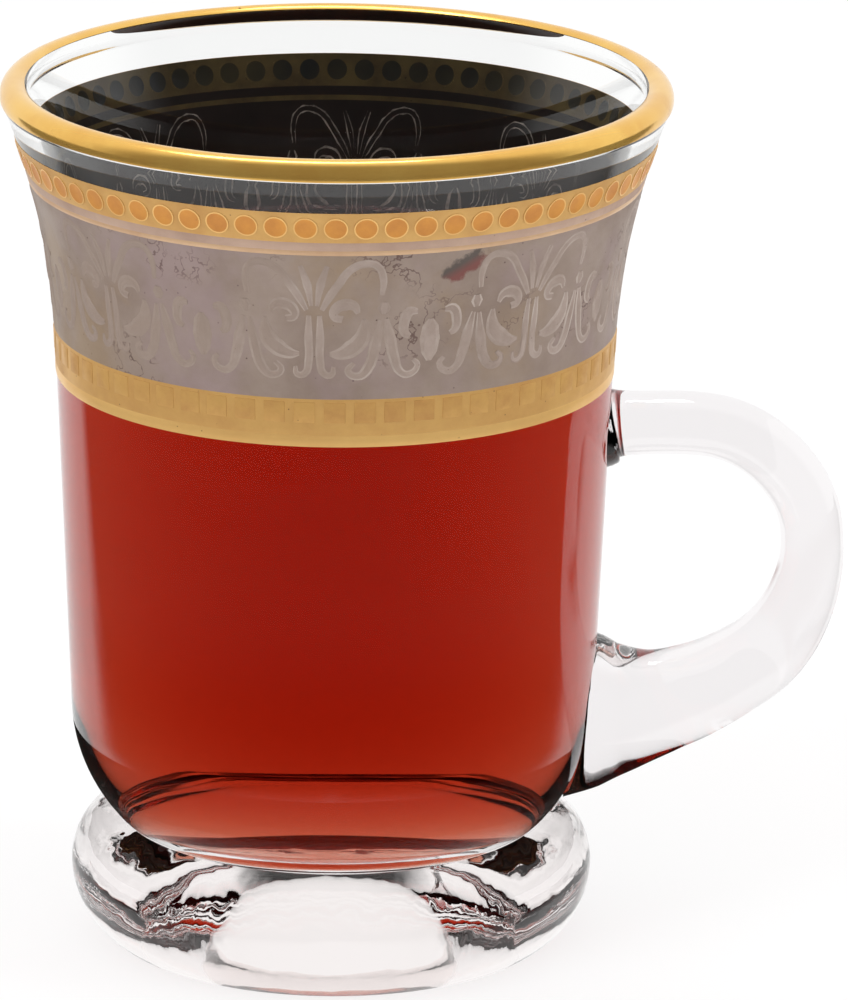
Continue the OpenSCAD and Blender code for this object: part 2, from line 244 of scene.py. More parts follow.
# %% Lamps
def softbox(name, place, aim, width, height, power, mirrored):
    """A soft rectangular lamp at a place, turned to an aim. Mirrors may see it or not."""
    data = bpy.data.lights.new(name, "AREA")
    data.shape = "RECTANGLE"
    data.size = width
    data.size_y = height
    data.energy = power
    lamp = bpy.data.objects.new(name, data)
    lamp.location = place
    lamp.rotation_euler = (Vector(aim) - Vector(place)).to_track_quat("-Z", "Y").to_euler()
    lamp.visible_glossy = mirrored
    lamp.visible_transmission = False
    scene.collection.objects.link(lamp)


glass_middle = (0.0, 0.0, 0.06)
softbox("key_softbox", (-0.55, -0.45, 0.75), glass_middle, 0.35, 0.5, 3.5, mirrored=False)
softbox("side_softbox", (0.75, -0.15, 0.55), glass_middle, 0.25, 0.6, 3.0, mirrored=False)
softbox("top_softbox", (-0.1, 0.3, 0.9), glass_middle, 0.5, 0.15, 2.0, mirrored=True)

# %% Bounces of light
scene.view_settings.view_transform = "Standard"
scene.cycles.max_bounces = 24
scene.cycles.transmission_bounces = 24
scene.cycles.glossy_bounces = 10
scene.cycles.transparent_max_bounces = 24
print("light may pass", scene.cycles.transmission_bounces, "faces of glass")

# %% [markdown]
# ## Glass and tea
# Clear glass is a plain Principled shader with full transmission. Pressed and fire-polished glass is
# never quite flat, so a slow noise ripples its normal. Lamps pass through it by the Shadow Ray output
# of Light Path, since bent light would otherwise leave a black shadow. Where tea lies against the wall,
# light goes from glass to tea and not to air, so the wall has a wet coat there, with the index of glass
# over that of tea. The coat of a hot weld is fully clear.

# %% Clear materials
def clear_material(name, ior, tint, shadow, ripple_scale, ripple):
    """A clear shader with a rippled skin. Lamps pass through it in the shadow colour."""
    mat = bpy.data.materials.new(name)
    tree = blank_nodes(mat)
    waves = noise_of(tree, object_place(tree), ripple_scale, detail=2.0, roughness=0.4)
    bump = put(tree, "ShaderNodeBump", Strength=ripple, Distance=0.001, Height=waves)
    skin = put(tree, "ShaderNodeBsdfPrincipled", Base_Color=tint, Roughness=0.0, IOR=ior,
               Transmission_Weight=1.0, Normal=bump.outputs["Normal"])
    through = put(tree, "ShaderNodeBsdfTransparent", Color=shadow)
    lamp_ray = put(tree, "ShaderNodeLightPath").outputs["Is Shadow Ray"]
    put(tree, "ShaderNodeOutputMaterial", Surface=either_of(tree, lamp_ray, skin, through))
    return mat


glass_ior, wet_ior, tea_ior = 1.5, 1.125, 1.333
pale, pale_shadow = (0.99, 0.995, 0.99, 1.0), (0.97, 0.97, 0.97, 1.0)
foot_tint, foot_shadow = (0.955, 0.91, 0.90, 1.0), (0.95, 0.93, 0.92, 1.0)
handle_tint, tea_shadow = (0.955, 0.93, 0.935, 1.0), (0.75, 0.3, 0.2, 1.0)
bowl_glass = clear_material("bowl_glass", glass_ior, pale, pale_shadow, ripple_scale=60.0, ripple=0.03)
foot_glass = clear_material("foot_glass", glass_ior, foot_tint, foot_shadow, ripple_scale=170.0, ripple=0.17)
handle_glass = clear_material(
    "handle_glass", glass_ior, handle_tint, pale_shadow, ripple_scale=110.0, ripple=0.05)
wet_glass = clear_material("wet_glass", wet_ior, pale, pale_shadow, ripple_scale=60.0, ripple=0.0)
tea_liquid = clear_material("tea_liquid", tea_ior, WHITE, tea_shadow, ripple_scale=40.0, ripple=0.01)

weld = bpy.data.materials.new("hot_weld")
tree = blank_nodes(weld)
skin = put(tree, "ShaderNodeBsdfPrincipled", Base_Color=WHITE, Alpha=0.0)
put(tree, "ShaderNodeOutputMaterial", Surface=skin.outputs[0])
print("clear materials:", bowl_glass.name, foot_glass.name, handle_glass.name, wet_glass.name, weld.name)

# %% [markdown]
# ## Colour of the tea
# The colour of tea lies in its depth, not on its skin: it takes away green and blue for each millimetre
# that the light travels. Only its open top is a surface to the light. Its sides are clear, because the
# wet coat of the wall already bends the light there.

# %% Colour of the tea
MM = 0.001
tea_z, top_skin = 82.8, 0.05
tree = tea_liquid.node_tree
depth = put(tree, "ShaderNodeVolumeAbsorption", Color=(0.809, 0.226, 0.0, 1.0), Density=104.6)
feed(tree, tree.nodes["Material Output"].inputs["Volume"], depth.outputs["Volume"])
height = axes_of(tree, tree.nodes["Texture Coordinate"].outputs["Object"])["Z"]
open_top = step_of(tree, "GREATER_THAN", height, (tea_z - top_skin) * MM)
feed(tree, tree.nodes["Principled BSDF"].inputs["Alpha"], open_top)
print("the tea stands at", tea_z, "mm and absorbs at a density of", depth.inputs["Density"].default_value)

# %% [markdown]
# ## Fired metal
# Gold and platinum are painted on as a brown liquid and come out of the kiln as a film of metal. It is
# bright on the lip and satin on the bands, with cloudy tarnish, fine specks and a little relief. All
# these films share one node group, and each sets its own colours and amounts. Seen through the glass
# the underside of a film is dark, so every band has a second material on its inner faces.

# %% Node group for a fired film
film_colours = ("Clean", "Tarnish", "Speck")
film_amounts = ("Cloud Scale", "Cloud Amount", "Speck Scale", "Speck Amount", "Grain Scale", "Polish")
cloud_dulls = 0.18


def fired_film_group():
    """Colour, roughness and height of a fired metal film, from clouds, specks and a fine grain."""
    group = bpy.data.node_groups.new("fired_film", "ShaderNodeTree")
    for way, kind, names in (("INPUT", "Color", film_colours), ("INPUT", "Float", film_amounts),
                             ("OUTPUT", "Color", ("Colour",)), ("OUTPUT", "Float", ("Roughness", "Height"))):
        for name in names:
            group.interface.new_socket(name, in_out=way, socket_type="NodeSocket" + kind)
    given = put(group, "NodeGroupInput").outputs
    place = object_place(group)

    clouds = noise_of(group, place, given["Cloud Scale"], detail=7.0, roughness=0.62)
    cloudy = ramp_of(group, clouds, start=0.38, end=0.68)
    cloudy = step_of(group, "MULTIPLY", cloudy, given["Cloud Amount"])
    aged = mix_of(group, cloudy, given["Clean"], given["Tarnish"])

    cells = put(group, "ShaderNodeTexVoronoi", feature="F1", Vector=place, Scale=given["Speck Scale"])
    near = ramp_of(group, cells.outputs["Distance"], start=0.05, end=0.16, low=1.0, high=0.0)
    chosen = put(group, "ShaderNodeTexWhiteNoise", noise_dimensions="3D", Vector=cells.outputs["Position"])
    rare = step_of(group, "LESS_THAN", chosen.outputs["Value"], given["Speck Amount"])
    flecked = mix_of(group, step_of(group, "MULTIPLY", near, rare), aged, given["Speck"])

    grain = noise_of(group, place, given["Grain Scale"])
    dull = step_of(group, "MULTIPLY_ADD", cloudy, cloud_dulls, given["Polish"])
    put(group, "NodeGroupOutput", Colour=flecked, Roughness=dull, Height=grain)
    return group


fired_film = fired_film_group()
print("group", fired_film.name, "has", len(fired_film.nodes), "nodes")

# %% Fired materials
def fired_material(name, clean, tarnish, speck, metallic, relief, *amounts):
    """A film of fired metal: its three colours, how metallic it is, its relief, and the group's amounts."""
    mat = bpy.data.materials.new(name)
    tree = blank_nodes(mat)
    film = put(tree, "ShaderNodeGroup", node_tree=fired_film)
    for key, colour in zip(film_colours, (clean, tarnish, speck)):
        film.inputs[key].default_value = shade(*colour)
    for key, amount in zip(film_amounts, amounts):
        film.inputs[key].default_value = amount
    bump = put(tree, "ShaderNodeBump", Strength=relief, Distance=0.0002, Height=film.outputs["Height"])
    skin = put(tree, "ShaderNodeBsdfPrincipled", Metallic=metallic, Base_Color=film.outputs["Colour"],
               Roughness=film.outputs["Roughness"], Normal=bump.outputs["Normal"])
    put(tree, "ShaderNodeOutputMaterial", Surface=skin.outputs[0])
    return mat


# A row has the clean, tarnished and speck colours, how metallic, the relief, the scale and amount of the
# clouds, the scale and amount of the specks, the scale of the grain, and the polish, where 0 is a mirror.
film_rows = {
    "rim_gold": (
        (238, 192, 100), (218, 162, 74), (120, 70, 30), 0.72, 0.06, 90.0, 0.7, 700.0, 0.02, 500.0, 0.12),
    "border_gold": (
        (216, 170, 100), (196, 146, 84), (120, 84, 52), 0.35, 0.10, 140.0, 0.8, 1400.0, 0.05, 2500.0, 0.42),
    "dot_gold": (
        (218, 150, 66), (202, 134, 66), (130, 82, 48), 0.35, 0.12, 260.0, 0.9, 1800.0, 0.05, 3000.0, 0.40),
    "block_gold": (
        (213, 166, 96), (194, 144, 82), (130, 82, 48), 0.35, 0.12, 260.0, 0.9, 1800.0, 0.05, 3000.0, 0.42),
    "pale_gold": (
        (238, 192, 118), (222, 172, 102), (160, 112, 60), 0.4, 0.06, 120.0, 0.6, 1400.0, 0.03, 2000.0, 0.30),
    "faded_gold": (
        (212, 176, 138), (196, 158, 124), (150, 112, 84), 0.25, 0.06, 120.0, 0.9, 1400.0, 0.03, 2000.0, 0.40),
    "blush_platinum": (
        (190, 160, 140), (170, 141, 124), (110, 82, 70), 0.2, 0.10, 110.0, 0.9, 1100.0, 0.05, 3000.0, 0.46),
    "platinum": (
        (160, 142, 130), (139, 120, 108), (84, 56, 50), 0.25, 0.15, 110.0, 0.8, 1100.0, 0.09, 3500.0, 0.46),
    "matt_platinum": (
        (170, 153, 143), (144, 126, 115), (96, 70, 64), 0.15, 0.3, 180.0, 0.9, 1500.0, 0.10, 5000.0, 0.62),
    "scroll_edge": (
        (186, 171, 161), (148, 130, 119), (120, 96, 88), 0.15, 0.3, 120.0, 1.0, 1500.0, 0.10, 5000.0, 0.62),
    "rim_back": (
        (84, 46, 22), (58, 30, 16), (40, 20, 10), 0.4, 0.05, 90.0, 0.8, 900.0, 0.05, 1500.0, 0.30),
    "gold_back": (
        (96, 82, 50), (66, 52, 36), (40, 32, 24), 0.3, 0.1, 160.0, 0.9, 1200.0, 0.08, 2500.0, 0.40),
    "dot_back": (
        (30, 31, 32), (58, 52, 34), (20, 20, 20), 0.2, 0.1, 70.0, 1.0, 1200.0, 0.05, 2500.0, 0.30),
    "platinum_back": (
        (36, 28, 25), (26, 20, 18), (16, 12, 11), 0.2, 0.1, 120.0, 0.9, 1000.0, 0.08, 2500.0, 0.40),
    "scroll_line": (
        (172, 162, 152), (36, 29, 26), (30, 24, 22), 0.2, 0.1, 620.0, 1.0, 1600.0, 0.2, 3000.0, 0.45),
}
fired = {name: fired_material(name, *row) for name, row in film_rows.items()}
print("fired materials:", list(fired))

# %% [markdown]
# ## Wear on the platinum
# Years of washing have worn the band. At the right of the front a patch is rubbed through: a slanting oval
# with a ragged edge, laid at its real place. Its colour is painted: dark grey towards the top, and towards
# the bottom a painted red of the tea that would show through the bare glass. Thin squiggles of tarnish run
# here and there. They are contour lines of a noise, let through by clouds. Broad, faint clouds of brown
# and red lie over the whole band.

# %% Worn patch
patch_place, patch_turn = (0.0149, -0.0329, 0.0923), (0.0, radians(-28.5), radians(25.3))
patch_size, ragged = (0.0036, 0.0017, 0.0015), 1.5
tree = fired["platinum"].node_tree
place = object_place(tree)
oval = put(tree, "ShaderNodeMapping", vector_type="TEXTURE", Vector=place, Location=patch_place,
           Rotation=patch_turn, Scale=patch_size).outputs[0]
tears = noise_of(tree, place, scale=700.0, roughness=0.65)
torn = step_of(tree, "MULTIPLY_ADD", tears, ragged, length_of(tree, oval))
patch = ramp_of(tree, torn, start=1.45, end=1.75, low=0.85, high=0.0)
# Painted tea: the lower side of the patch takes the dull red of the tea seen through bare glass, the top a
# dark grey.
painted_tea_side = ramp_of(tree, axes_of(tree, oval)["Z"], start=-0.4, end=0.3, low=1.0, high=0.0)
rubbed_grey_and_painted_tea = mix_of(tree, painted_tea_side, shade(82, 74, 70), shade(124, 64, 60))
print("the patch is", round(2 * patch_size[0] / MM, 1), "mm long")

# %% Squiggles and tints
line_level = 0.5
contours = noise_of(tree, place, scale=330.0, detail=3.0)
off_line = step_of(tree, "ABSOLUTE", step_of(tree, "SUBTRACT", contours, line_level))
thin = ramp_of(tree, off_line, start=0.006, end=0.018, low=1.0, high=0.0)
areas = noise_of(tree, place, scale=75.0, detail=2.0, roughness=0.5)
some = ramp_of(tree, areas, start=0.54, end=0.62, high=0.7)
squiggle = step_of(tree, "MULTIPLY", thin, some)

tints = noise_of(tree, place, scale=48.0, detail=5.0)
browner = ramp_of(tree, tints, start=0.52, end=0.66, high=0.5)
redder = ramp_of(tree, tints, start=0.48, end=0.36, high=0.5)
brown_tint = mix_of(tree, browner, tree.nodes["Group"].outputs["Colour"], shade(156, 130, 96))
red_tint = mix_of(tree, redder, brown_tint, shade(160, 138, 140))
# The patch, with its painted red of the tea, goes over the tinted band.
worn_with_painted_tea = mix_of(tree, patch, red_tint, rubbed_grey_and_painted_tea)
marked = mix_of(tree, squiggle, worn_with_painted_tea, shade(88, 58, 54))
feed(tree, tree.nodes["Principled BSDF"].inputs["Base Color"], marked)
print("the platinum has", len(tree.nodes), "nodes")

# %% [markdown]
# ## Faded scrolls
# The matt film of the scrolls is worn too. In places it has sunk into the colour of the band, most of
# all at the left, and only parts of the strokes still stand out. A noise makes the blots, and the place
# from left to right is added to it.

# %% Faded scrolls
blot_pull, left_pull = 2.6, -22.0


def fade_scrolls(mat):
    """Lets a layer of the scrolls sink into the colour of the band, more so towards the left."""
    tree = mat.node_tree
    place = object_place(tree)
    towards_left = step_of(tree, "MULTIPLY", axes_of(tree, place)["X"], left_pull)
    blots = noise_of(tree, place, scale=170.0)
    rub = step_of(tree, "MULTIPLY_ADD", blots, blot_pull, towards_left)
    fade = ramp_of(tree, rub, start=0.75, end=1.75, high=0.85)
    sunk = mix_of(tree, fade, tree.nodes["Group"].outputs["Colour"], shade(150, 132, 120))
    feed(tree, tree.nodes["Principled BSDF"].inputs["Base Color"], sunk)


for name in ("matt_platinum", "scroll_edge"):
    fade_scrolls(fired[name])
    print("faded:", name)

# %% [markdown]
# ## The outline of the bowl
# A turned piece is drawn as half a section: points of radius and height, in millimetres. The outside is
# a round corner, a wall that leans out by a few degrees, an arc that flares, and a round bead for the
# lip. The inside follows one wall thickness in, with a tighter corner and a thick floor. The foot is a
# fat ring whose flank and shoulder are two arcs, and its hollow is roofed by an arc along the bowl.

# %% Outline of the bowl
total_h, rim_r, body_r = 106.0, 40.0, 31.75
wall_lean, wall_t, lip_t = 2.3, 2.8, 3.4
flare_z = 74.8
corner_r, inner_corner_r = 20.0, 12.0
bowl_z, floor_t = 9.0, 7.2


def arc(centre, radius, start, end, steps):
    """Points along an arc, with its angles in degrees."""
    turns = [radians(start + (end - start) * i / steps) for i in range(steps + 1)]
    return [(centre[0] + radius * cos(a), centre[1] + radius * sin(a)) for a in turns]


wall_normal = (cos(radians(wall_lean)), -sin(radians(wall_lean)))
corner_c = (body_r - corner_r * wall_normal[0], bowl_z + corner_r)
corner_top = (corner_c[0] + corner_r * wall_normal[0], corner_c[1] + corner_r * wall_normal[1])
flare_start = (corner_top[0] + (flare_z - corner_top[1]) * tan(radians(wall_lean)), flare_z)
lip_c = (rim_r - lip_t / 2, total_h - lip_t / 2)
lip_path = [lip_c[k] - flare_start[k] + lip_t / 2 * wall_normal[k] for k in (0, 1)]
lip_push = lip_path[0] * wall_normal[0] + lip_path[1] * wall_normal[1]
flare_r = (lip_path[0] ** 2 + lip_path[1] ** 2) / (2 * lip_push) - lip_t / 2
flare_c = (flare_start[0] + flare_r * wall_normal[0], flare_start[1] + flare_r * wall_normal[1])
lip_lean = 180 - degrees(atan2(lip_c[1] - flare_c[1], lip_c[0] - flare_c[0]))


def skin_r(z):
    """Outside radius of the bowl at a height, from the corner to the lip."""
    if z < corner_top[1]:
        return corner_c[0] + sqrt(corner_r ** 2 - (z - corner_c[1]) ** 2)
    if z < flare_z:
        return corner_top[0] + (z - corner_top[1]) * tan(radians(wall_lean))
    return flare_c[0] - sqrt(flare_r ** 2 - (z - flare_c[1]) ** 2)


print("flare radius", round(flare_r, 1), "mm, lip leans out by", round(lip_lean, 1), "degrees")

# %% Inside of the bowl
flare_steps = 40
lip_turn = degrees(acos((wall_t - lip_t / 2) / (lip_t / 2)))
inner_flare_r = flare_r + wall_t
inner_lean = lip_lean - degrees(lip_t / 2 * sin(radians(lip_turn)) / inner_flare_r)
floor_z = bowl_z + floor_t
inner_corner_z = floor_z + inner_corner_r
corner_push = corner_c[0] * wall_normal[0] + corner_c[1] * wall_normal[1]
inner_reach = corner_push + corner_r - wall_t - inner_corner_r
inner_corner_c = ((inner_reach + inner_corner_z * sin(radians(wall_lean))) / wall_normal[0], inner_corner_z)
inner_wall = (
    arc(flare_c, inner_flare_r, 180 - inner_lean, 180 - wall_lean, flare_steps)
    + arc(inner_corner_c, inner_corner_r, -wall_lean, -90, 36)
)
print("the hollow is", round(2 * inner_wall[0][0], 1), "mm wide at the lip and starts at", floor_z, "mm")

# %% Outline of the foot
foot_mid_z, shoulder_r, flank_in = 8.2, 6.9, 4.25
base_edge_r, ring_w, web_t, mouth_w, mouth_h = 1.0, 10.7, 0.8, 2.0, 2.0
shoulder_c = (body_r - shoulder_r, foot_mid_z)
gap = (corner_c[0] - shoulder_c[0], corner_c[1] - shoulder_c[1])
apart = hypot(*gap)
along = (shoulder_r ** 2 - corner_r ** 2 + apart ** 2) / (2 * apart)
aside = sqrt(shoulder_r ** 2 - along ** 2)
seat_edge = (
    shoulder_c[0] + (along * gap[0] + aside * gap[1]) / apart,
    shoulder_c[1] + (along * gap[1] - aside * gap[0]) / apart,
)
seat_angle = degrees(atan2(seat_edge[1] - corner_c[1], seat_edge[0] - corner_c[0]))
shoulder_end = degrees(atan2(seat_edge[1] - shoulder_c[1], seat_edge[0] - shoulder_c[0]))
flank_r = (flank_in ** 2 + foot_mid_z ** 2) / (2 * flank_in)
flank_c = (body_r - flank_r, foot_mid_z)
base_reach = sqrt((flank_r - base_edge_r) ** 2 - (foot_mid_z - base_edge_r) ** 2)
base_edge_c = (flank_c[0] + base_reach, base_edge_r)
base_turn = degrees(atan2(base_edge_c[1] - flank_c[1], base_edge_c[0] - flank_c[0]))
seat = arc(corner_c, corner_r, -90, seat_angle, 18)
print("bowl and foot part at radius", round(seat_edge[0], 2), "and height", round(seat_edge[1], 2), "mm")

# %% [markdown]
# ## Turning a section on the lathe
# In Blender a lathe is the Spin tool: a vertex is extruded along the section, and the line is spun
# round the axis. The seam is merged, the poles close, and the normals are recalculated. A Screw
# modifier would do the same, but spinning leaves a plain mesh whose faces can be picked by place.

# %% Lathe
merge_gap, lathe_steps = 0.000001, 160


def start_mesh(name):
    """A new mesh object with a single vertex at the origin, open in edit mode."""
    pick()
    bpy.ops.mesh.primitive_circle_add(vertices=3, radius=0.001)
    obj = bpy.context.object
    obj.name = name
    obj.data.name = name
    bpy.ops.object.mode_set(mode="EDIT")
    bpy.ops.mesh.select_all(action="SELECT")
    bpy.ops.mesh.merge(type="CENTER")
    return obj


def close_mesh(obj, smooth=40.0):
    """Merges doubles, turns the normals out, leaves edit mode and shades smooth by angle."""
    bpy.ops.mesh.select_all(action="SELECT")
    bpy.ops.mesh.remove_doubles(threshold=merge_gap)
    bpy.ops.mesh.normals_make_consistent(inside=False)
    bpy.ops.object.mode_set(mode="OBJECT")
    bpy.ops.object.shade_smooth_by_angle(angle=radians(smooth))
    return obj


def lathe(name, section):
    """A turned piece from a section in millimetres. A section off the axis is closed to a ring."""
    points = list(section)
    if points[0][0] > 0.0:
        points.append(points[0])
    obj = start_mesh(name)
    bpy.ops.transform.translate(value=(points[0][0] * MM, 0.0, points[0][1] * MM))
    for a, b in zip(points, points[1:]):
        step = ((b[0] - a[0]) * MM, 0.0, (b[1] - a[1]) * MM)
        bpy.ops.mesh.extrude_vertices_move(TRANSFORM_OT_translate={"value": step})
    bpy.ops.mesh.select_all(action="SELECT")
    bpy.ops.mesh.remove_doubles(threshold=merge_gap)
    bpy.ops.mesh.select_all(action="SELECT")
    bpy.ops.mesh.spin(steps=lathe_steps, angle=2 * pi, center=(0.0, 0.0, 0.0), axis=(0.0, 0.0, 1.0))
    return close_mesh(obj)


print("a section is turned in", lathe_steps, "steps")

# %% Coats and places
def looks_in(centre, normal):
    """True for a face that looks at the axis."""
    return normal.x * centre.x + normal.y * centre.y < 0.0


def paint(obj, coats, which=None):
    """Gives the piece its materials. which(centre, normal) gives the number of a face's coat."""
    obj.data.materials.clear()
    for coat in coats:
        obj.data.materials.append(coat)
    for face in obj.data.polygons:
        face.material_index = int(which(face.center, face.normal)) if which else 0


def settle(obj, slot, *nodes):
    """The piece stands for these solids and rides on the one body. The slot is not used."""
    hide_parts(*nodes)
    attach(obj, "root")
    print(obj.name, "has", len(obj.data.polygons), "faces and stands for", ", ".join(nodes))


# %% [markdown]
# ## Bowl and foot
# The bowl and the foot were gathered apart and fused while hot, so no skin is left between them. Each is
# still a closed piece here. The faces where they meet share the coat of the hot weld, so that light goes
# through as if it were one glass. The inside of the bowl is wet up to the level of the tea.

# %% Bowl
lip_bead = arc(lip_c, lip_t / 2, -lip_lean, 180 - lip_lean + lip_turn, 40)
bowl_section = (
    [(0.0, bowl_z)] + seat[1:]
    + arc(corner_c, corner_r, seat_angle, -wall_lean, 30)[1:]
    + arc(flare_c, flare_r, 180 - wall_lean, 180 - lip_lean, flare_steps)
    + lip_bead[1:] + inner_wall + [(0.0, floor_z)]
)
bowl = lathe("bowl_glass", bowl_section)
seat_slack = 0.1


def on_seat(centre, normal):
    """1 for a face of the weld between bowl and foot, else 0."""
    r, z = hypot(centre.x, centre.y) / MM, centre.z / MM
    at_bottom = r < corner_c[0] and abs(z - bowl_z) < seat_slack
    to_corner = hypot(r - corner_c[0], z - corner_c[1])
    on_corner = abs(to_corner - corner_r) < seat_slack and z < seat_edge[1]
    return 1 if at_bottom or on_corner else 0


def bowl_coat(centre, normal):
    """Weld 1 at the seat, wet wall 2 where tea lies against the inside, else bare glass 0."""
    if on_seat(centre, normal):
        return 1
    inside = normal.z > 0.0 or looks_in(centre, normal)
    return 2 if inside and centre.z / MM < tea_z else 0


paint(bowl, [bowl_glass, weld, wet_glass], bowl_coat)
settle(bowl, "clear_glass", "bowl")

# %% Foot
mouth_r = base_edge_c[0] - ring_w
hollow_r, roof_r = mouth_r - mouth_w, corner_r + web_t
roof_turn = -degrees(acos((hollow_r - corner_c[0]) / roof_r))
mouth_turns = [radians(5 * i) for i in range(19)]
foot_section = (
    [(0.0, bowl_z - web_t)] + arc(corner_c, roof_r, -90, roof_turn, 10)
    + [(mouth_r - mouth_w * cos(a), mouth_h * (1 - sin(a))) for a in mouth_turns]
    + arc(base_edge_c, base_edge_r, -90, base_turn, 8)
    + arc(flank_c, flank_r, base_turn, 0, 24)[1:]
    + arc(shoulder_c, shoulder_r, 0, shoulder_end, 24)[1:-1]
    + seat[::-1][:-1] + [(0.0, bowl_z)]
)
foot = lathe("foot_glass", foot_section)
paint(foot, [foot_glass, weld], on_seat)
settle(foot, "clear_glass", "foot")

# %% [markdown]
# ## Dark collar
# The round corner of a bowl mirrors the foot below it, and a bright foot would put a pale veil on the
# tea. A photographer slips a ring of dark card between them. This one belongs to the stage, and only
# mirrors see it.

# %% Dark collar
card_in, card_out, card_low, card_high = 26.2, 46.0, 15.06, 15.1
card_paint = bpy.data.materials.new("dark_card")
tree = blank_nodes(card_paint)
dark = put(tree, "ShaderNodeEmission", Color=(0.02, 0.018, 0.016, 1.0), Strength=1.0)
put(tree, "ShaderNodeOutputMaterial", Surface=dark.outputs[0])
collar = lathe("dark_collar_card", [
    (card_in, card_low), (card_out, card_low), (card_out, card_high), (card_in, card_high)])
paint(collar, [card_paint])
for rays in ("camera", "diffuse", "transmission", "volume_scatter", "shadow"):
    setattr(collar, "visible_" + rays, False)
print("the collar keeps the bright foot out of the mirror of the bowl")

# %% [markdown]
# ## Handle
# The handle is a rod of glass that was drawn out, bent and pressed on at both ends. It is a row of ovals
# along a smooth line, each added as a circle at its place, bridged to the one before. A slightly
# smaller copy of the bowl's outside then cuts its two roots. Where they sit, the wall of the bowl has
# no skin: its alpha is 0 inside two ovals that are measured on the cut.

# %% Line of the handle
handle_z, handle_reach, handle_t = 17.0, 29.4, 7.6
upper_root, lower_root = 10.2, 19.2
handle_depth, root_spread = 9.0, 0.7
lower_line_z, handle_drop = 70.35, 2.7
handle_h = lower_line_z - handle_drop - handle_z
handle_wall = skin_r(handle_z + handle_h / 2)
stations = [
    (-0.15, 0.914, upper_root * 1.1), (0.01, 0.916, upper_root), (0.085, 0.921, handle_t * 1.03),
    (0.36, 0.923, handle_t), (0.53, 0.905, handle_t), (0.67, 0.860, handle_t),
    (0.785, 0.790, handle_t), (0.85, 0.715, handle_t), (0.871, 0.637, handle_t),
    (0.864, 0.560, handle_t * 1.04), (0.828, 0.482, handle_t * 1.12), (0.764, 0.408, handle_t * 1.22),
    (0.671, 0.346, handle_t * 1.32), (0.54, 0.295, handle_t * 1.40), (0.40, 0.254, handle_t * 1.53),
    (0.255, 0.225, handle_t * 1.7), (0.115, 0.210, lower_root * 0.82), (-0.01, 0.205, lower_root),
    (-0.16, 0.200, lower_root * 1.12),
]


def smooth_line(points, steps):
    """A smooth line through points of any number of coordinates, with so many steps between two."""
    line = []
    for i in range(len(points) - 1):
        p0, p1, p2, p3 = (points[min(max(i + k, 0), len(points) - 1)] for k in (-1, 0, 1, 2))
        for s in (j / steps for j in range(steps)):
            line.append(tuple(
                b + (c - a) * s / 2 + (2 * a - 5 * b + 4 * c - d) * s * s / 2
                + (3 * b - 3 * c + d - a) * s ** 3 / 2
                for a, b, c, d in zip(p0, p1, p2, p3)))
    return line + [tuple(points[-1])]


handle_line = [
    (handle_wall + out * handle_reach, handle_z + up * handle_h, t) for out, up, t in smooth_line(stations, 6)
]
print("the handle's line has", len(handle_line), "ovals")

# %% Handle
handle_sides, rings = 40, len(handle_line)
handle = start_mesh("handle_glass")
bpy.ops.mesh.delete(type="VERT")
for i, (x, z, t) in enumerate(handle_line):
    before, after = handle_line[max(i - 1, 0)], handle_line[min(i + 1, rings - 1)]
    lean = atan2(after[0] - before[0], after[1] - before[1])
    depth_there = handle_depth + root_spread * (t - handle_t)
    bpy.ops.mesh.primitive_circle_add(
        vertices=handle_sides, radius=t / 2 * MM, location=(x * MM, 0.0, z * MM), rotation=(0.0, lean, 0.0))
    bpy.ops.transform.resize(value=(1.0, depth_there / t, 1.0), center_override=(0.0, 0.0, 0.0))
bpy.ops.mesh.select_mode(type="VERT")


def pick_ovals(*wanted):
    """Selects these ovals of the handle and nothing else, and goes back to edit mode."""
    bpy.ops.mesh.select_all(action="DESELECT")
    bpy.ops.object.mode_set(mode="OBJECT")
    for v in handle.data.vertices:
        v.select = v.index // handle_sides in wanted
    for e in handle.data.edges:
        e.select = all(handle.data.vertices[k].select for k in e.vertices)
    bpy.ops.object.mode_set(mode="EDIT")


for i in range(rings - 1):
    pick_ovals(i, i + 1)
    bpy.ops.mesh.bridge_edge_loops()
for end in (0, rings - 1):
    pick_ovals(end)
    bpy.ops.mesh.edge_face_add()
close_mesh(handle)
print("uncut handle:", len(handle.data.polygons), "faces")

# %% Cut the roots of the handle
sink, cut_slack = 0.05, 0.1
cutter_section = (
    [(0.0, bowl_z + sink)]
    + arc(corner_c, corner_r - sink, -90, -wall_lean, 48)[1:]
    + arc(flare_c, flare_r + sink, 180 - wall_lean, 180 - lip_lean, 24)
    + [(0.0, total_h)]
)
cutter = lathe("handle_cutter", cutter_section)
pick(handle)
cut = handle.modifiers.new("roots", "BOOLEAN")
cut.operation = "DIFFERENCE"
cut.solver = "EXACT"
cut.object = cutter
bpy.ops.object.modifier_apply(modifier=cut.name)
bpy.data.objects.remove(cutter)
bpy.ops.object.mode_set(mode="EDIT")
close_mesh(handle)


def at_cut(place):
    """True where a place lies on the cut that sinks into the wall."""
    return abs(hypot(place.x, place.y) / MM - skin_r(place.z / MM) + sink) < cut_slack


def handle_coat(centre, normal):
    """Weld 1 on the cut, which looks at the wall, else bare glass 0."""
    return 1 if at_cut(centre) and normal.x < 0.0 else 0


paint(handle, [handle_glass, weld], handle_coat)
settle(handle, "clear_glass", "handle")

# %% Fuse the roots to the wall
def root_oval(low, high):
    """Middle height, half height and half depth of a root on the wall, between two heights."""
    edge = [v.co for v in handle.data.vertices if low < v.co.z / MM < high and at_cut(v.co)]
    top, bottom = max(p.z for p in edge), min(p.z for p in edge)
    return (top + bottom) / 2, (top - bottom) / 2, max(p.y for p in edge)


def squared(tree, term):
    """The square of a term of either sign."""
    return step_of(tree, "POWER", step_of(tree, "ABSOLUTE", term), 2.0)


